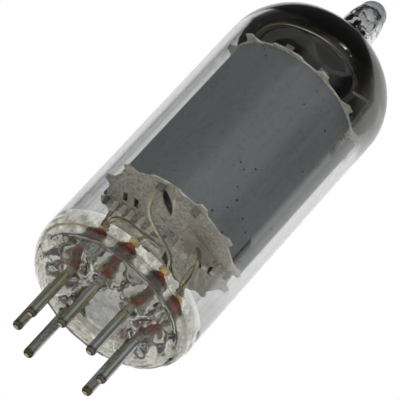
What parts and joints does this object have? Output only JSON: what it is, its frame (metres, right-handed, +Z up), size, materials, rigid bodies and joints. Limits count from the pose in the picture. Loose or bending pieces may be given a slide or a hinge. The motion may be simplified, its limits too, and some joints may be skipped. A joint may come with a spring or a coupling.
{
  "type": "heptode tube",
  "caption": "Miniature heptode receiving tube: clear glass bulb with an exhaust tip, pinned button base, mica spacers, grey sheet anode round wound grids, ring getter.",
  "frame": {"origin": "centre of the ring of pins, in the plane that the pin tips stand on", "axes": "+Z up the tube's axis to the exhaust tip; +Y through the empty place in the ring of pins; +X through pin 6"},
  "size_m": [0.0176, 0.0176, 0.0529],
  "materials": {
    "bulb_glass": "clear blown glass with a dark brown getter film inside the dome",
    "stem_glass": "clear pressed glass, mottled underside",
    "pin_metal": "dull nickel with a brassy tint",
    "seal_wire": "red oxide on a copper sheath",
    "lead_wire": "dull grey nickel wire",
    "mica": "translucent beige mineral sheet",
    "anode_sheet": "dark grey carbonised sheet",
    "cathode_nickel": "nickel sleeve with a white coating",
    "heater_coating": "white alumina",
    "strap_metal": "bare nickel sheet",
    "grid_rod": "copper rod",
    "grid_wire": "fine drawn wire",
    "getter_channel": "darkened iron channel"
  },
  "bodies": {
    "root": {"bulb": "bulb_glass", "button_stem": "stem_glass", "pin_1": "pin_metal", "pin_2": "pin_metal", "pin_3": "pin_metal", "pin_4": "pin_metal", "pin_5": "pin_metal", "pin_6": "pin_metal", "pin_7": "pin_metal", "mica_lower": "mica", "mica_upper": "mica", "anode_front": "anode_sheet", "anode_rear": "anode_sheet", "cathode_sleeve": "cathode_nickel", "heater": "heater_coating", "cathode_strap": "strap_metal", "screen_strap": "strap_metal", "collector_plates": "strap_metal", "grid_1_rods": "grid_rod", "grid_2_rods": "grid_rod", "grid_3_rods": "grid_rod", "grid_4_rods": "grid_rod", "grid_5_rods": "grid_rod", "grid_1_winding": "grid_wire", "grid_2_winding": "grid_wire", "grid_3_winding": "grid_wire", "grid_4_winding": "grid_wire", "grid_5_winding": "grid_wire", "getter_ring": "getter_channel", "getter_post": "lead_wire", "seal_wire_1": "seal_wire", "seal_wire_2": "seal_wire", "seal_wire_3": "seal_wire", "seal_wire_4": "seal_wire", "seal_wire_5": "seal_wire", "seal_wire_6": "seal_wire", "seal_wire_7": "seal_wire", "lead_1": "lead_wire", "lead_2": "lead_wire", "lead_3": "lead_wire", "lead_4": "lead_wire", "lead_5": "lead_wire", "lead_6": "lead_wire", "lead_7": "lead_wire"}
  },
  "joints": []
}
